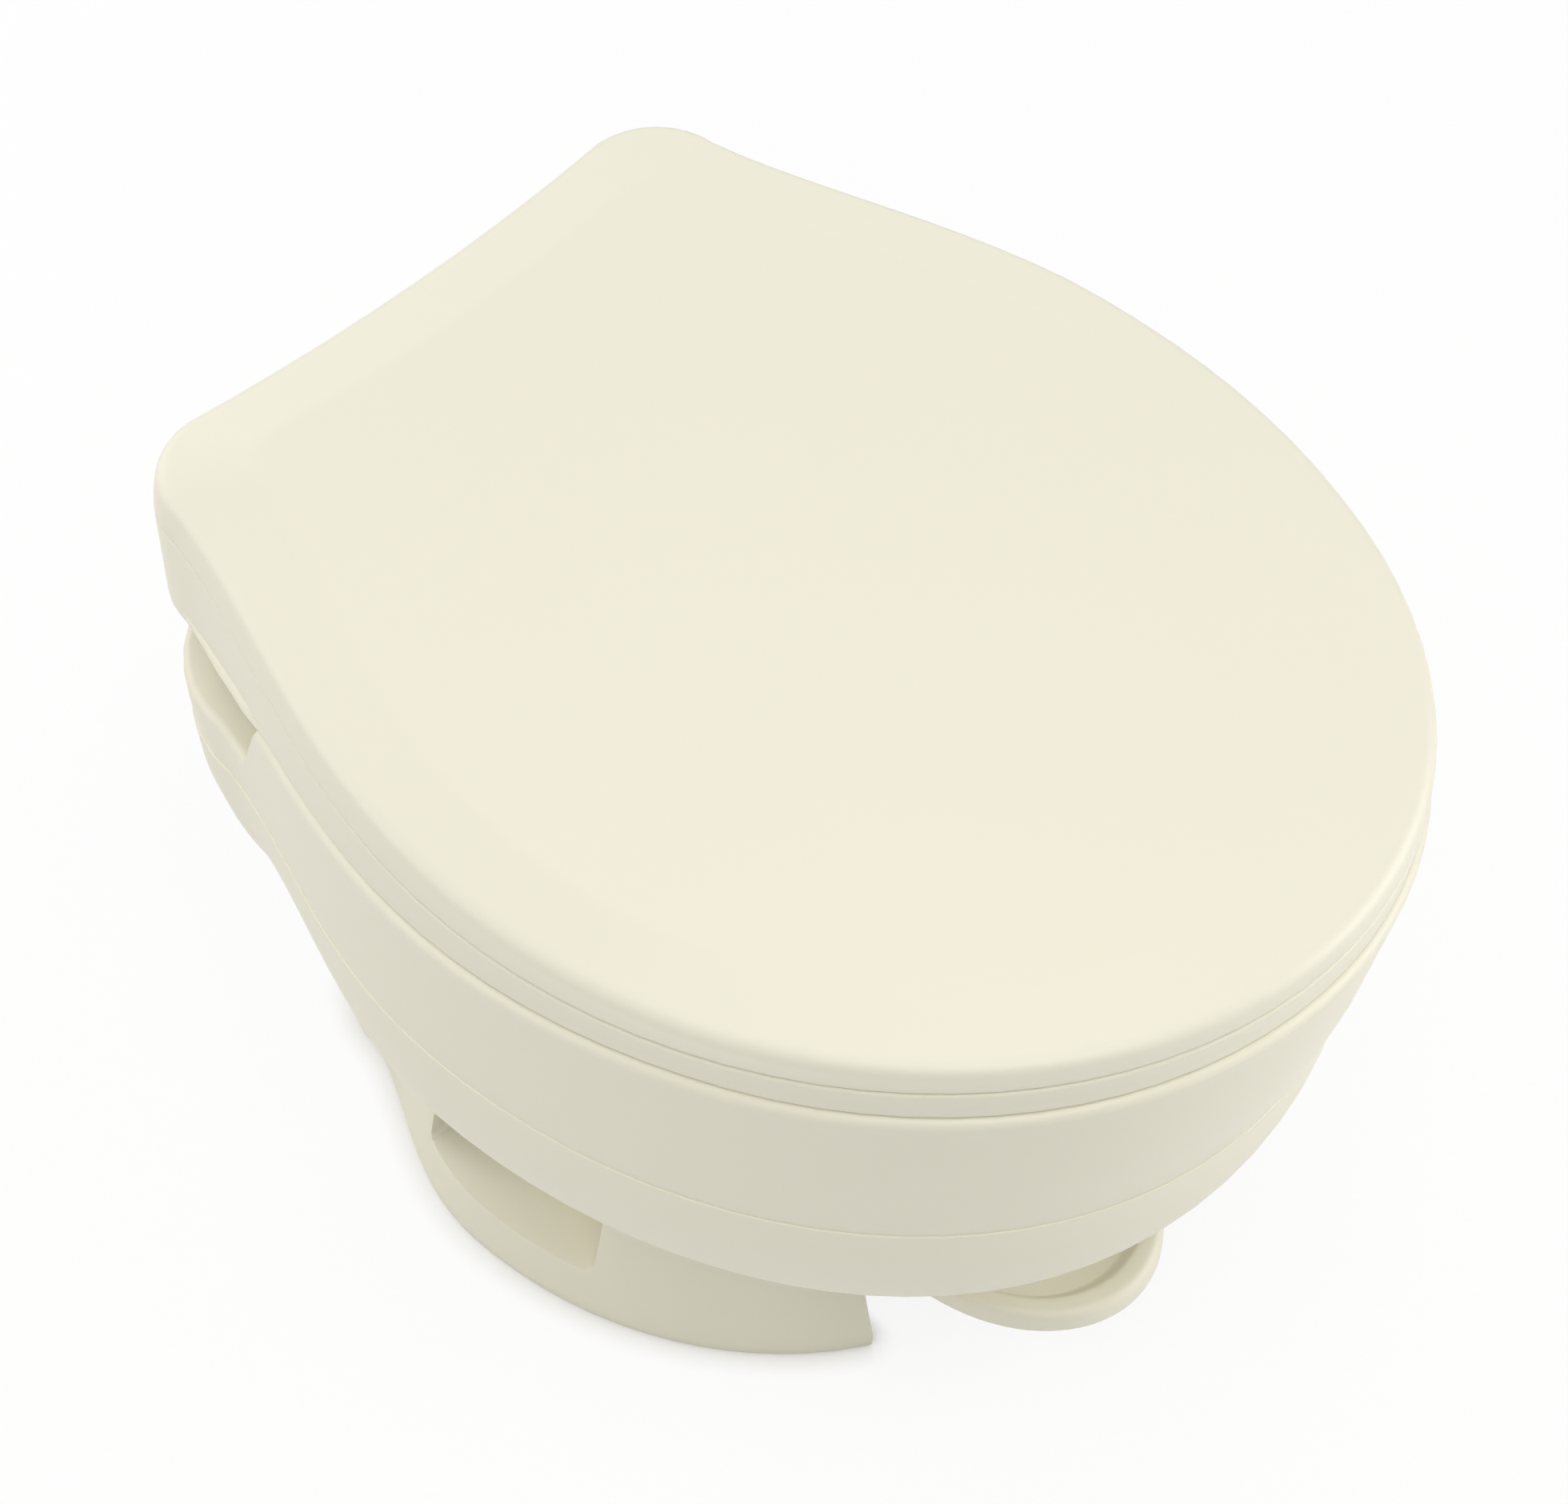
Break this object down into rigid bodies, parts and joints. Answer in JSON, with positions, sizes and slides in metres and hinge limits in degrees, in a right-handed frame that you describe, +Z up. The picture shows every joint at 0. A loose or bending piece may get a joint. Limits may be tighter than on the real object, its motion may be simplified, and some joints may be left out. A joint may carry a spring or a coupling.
{
  "type": "rv toilet",
  "caption": "Low-profile RV toilet with hinged lid and seat, foot pedal flush, geared waste ball, water valve and pedestal base.",
  "frame": {"origin": "on the floor, under the middle of the toilet's overall box", "axes": "+Z up, the front points to -Y, the hinges lie at +Y"},
  "size_m": [0.39, 0.485, 0.3563],
  "materials": {
    "cream_plastic": "satin moulded cream plastic",
    "bowl_plastic": "smooth moulded cream plastic",
    "black_rubber": "matt black rubber",
    "plated_steel": "zinc plated",
    "grey_plastic": "dark grey moulded plastic"
  },
  "bodies": {
    "root": {"ball_bearing_left": "grey_plastic", "ball_bearing_right": "grey_plastic", "ball_housing": "grey_plastic", "ball_seal": "black_rubber", "bowl_liner": "bowl_plastic", "breaker_cap": "grey_plastic", "closet_bolt_left": "plated_steel", "closet_bolt_right": "plated_steel", "closet_nut_left": "plated_steel", "closet_nut_right": "plated_steel", "closet_washer_left": "plated_steel", "closet_washer_right": "plated_steel", "floor_seal": "black_rubber", "hinge_bolt_left": "grey_plastic", "hinge_bolt_right": "grey_plastic", "hinge_bracket_left": "cream_plastic", "hinge_bracket_right": "cream_plastic", "hinge_pin_left": "plated_steel", "hinge_pin_right": "plated_steel", "outer_body": "cream_plastic", "pedal_bushing_left": "grey_plastic", "pedal_bushing_right": "grey_plastic", "pedestal_base": "cream_plastic", "return_spring": "plated_steel", "rinse_hose": "black_rubber", "rinse_nozzle": "bowl_plastic", "seal_retainer": "grey_plastic", "supply_hose": "black_rubber", "vacuum_breaker": "grey_plastic", "water_inlet": "plated_steel", "water_valve": "grey_plastic", "wing_nut_left": "grey_plastic", "wing_nut_right": "grey_plastic"},
    "seat": {"seat": "cream_plastic", "seat_bumper_front_left": "black_rubber", "seat_bumper_front_right": "black_rubber", "seat_bumper_rear_left": "black_rubber", "seat_bumper_rear_right": "black_rubber"},
    "lid": {"lid": "cream_plastic", "lid_bumper_left": "black_rubber", "lid_bumper_right": "black_rubber"},
    "pedal": {"flush_pedal": "cream_plastic", "pedal_shaft": "plated_steel", "drive_sector": "plated_steel"},
    "ball": {"waste_ball": "grey_plastic", "ball_pinion": "grey_plastic", "valve_cam": "grey_plastic", "ball_shaft_left": "plated_steel", "ball_shaft_right": "plated_steel"},
    "plunger": {"valve_plunger": "plated_steel"},
    "float": {"breaker_float": "black_rubber"}
  },
  "joints": [
    {"name": "seat_hinge", "type": "hinge", "parent": "root", "child": "seat", "pos_m": [0, 0.225, 0.3], "axis": [-1, 0, 0], "range_deg": [0, 92]},
    {"name": "lid_hinge", "type": "hinge", "parent": "seat", "child": "lid", "pos_m": [0, 0.225, 0.3], "axis": [-1, 0, 0], "range_deg": [0, 95]},
    {"name": "pedal_press", "type": "hinge", "parent": "root", "child": "pedal", "pos_m": [0, -0.03, 0.05], "axis": [1, 0, 0], "range_deg": [0, 17], "stiffness_Nm_per_rad": 1.5, "springref_deg": -14.32},
    {"name": "ball_turn", "type": "hinge", "parent": "root", "child": "ball", "pos_m": [0, 0.06, 0.09], "axis": [1, 0, 0], "range_deg": [-86, 0]},
    {"name": "plunger_slide", "type": "slide", "parent": "root", "child": "plunger", "axis": [0, 1, 0], "range_m": [0, 0.0042]},
    {"name": "float_slide", "type": "slide", "parent": "root", "child": "float", "axis": [0, 0, 1], "range_m": [0, 0.028]}
  ],
  "couplings": [
    {"joint": "ball_turn", "follows": "pedal_press", "ratio": -5},
    {"joint": "plunger_slide", "follows": "pedal_press", "m_per_rad": 0.0138}
  ]
}
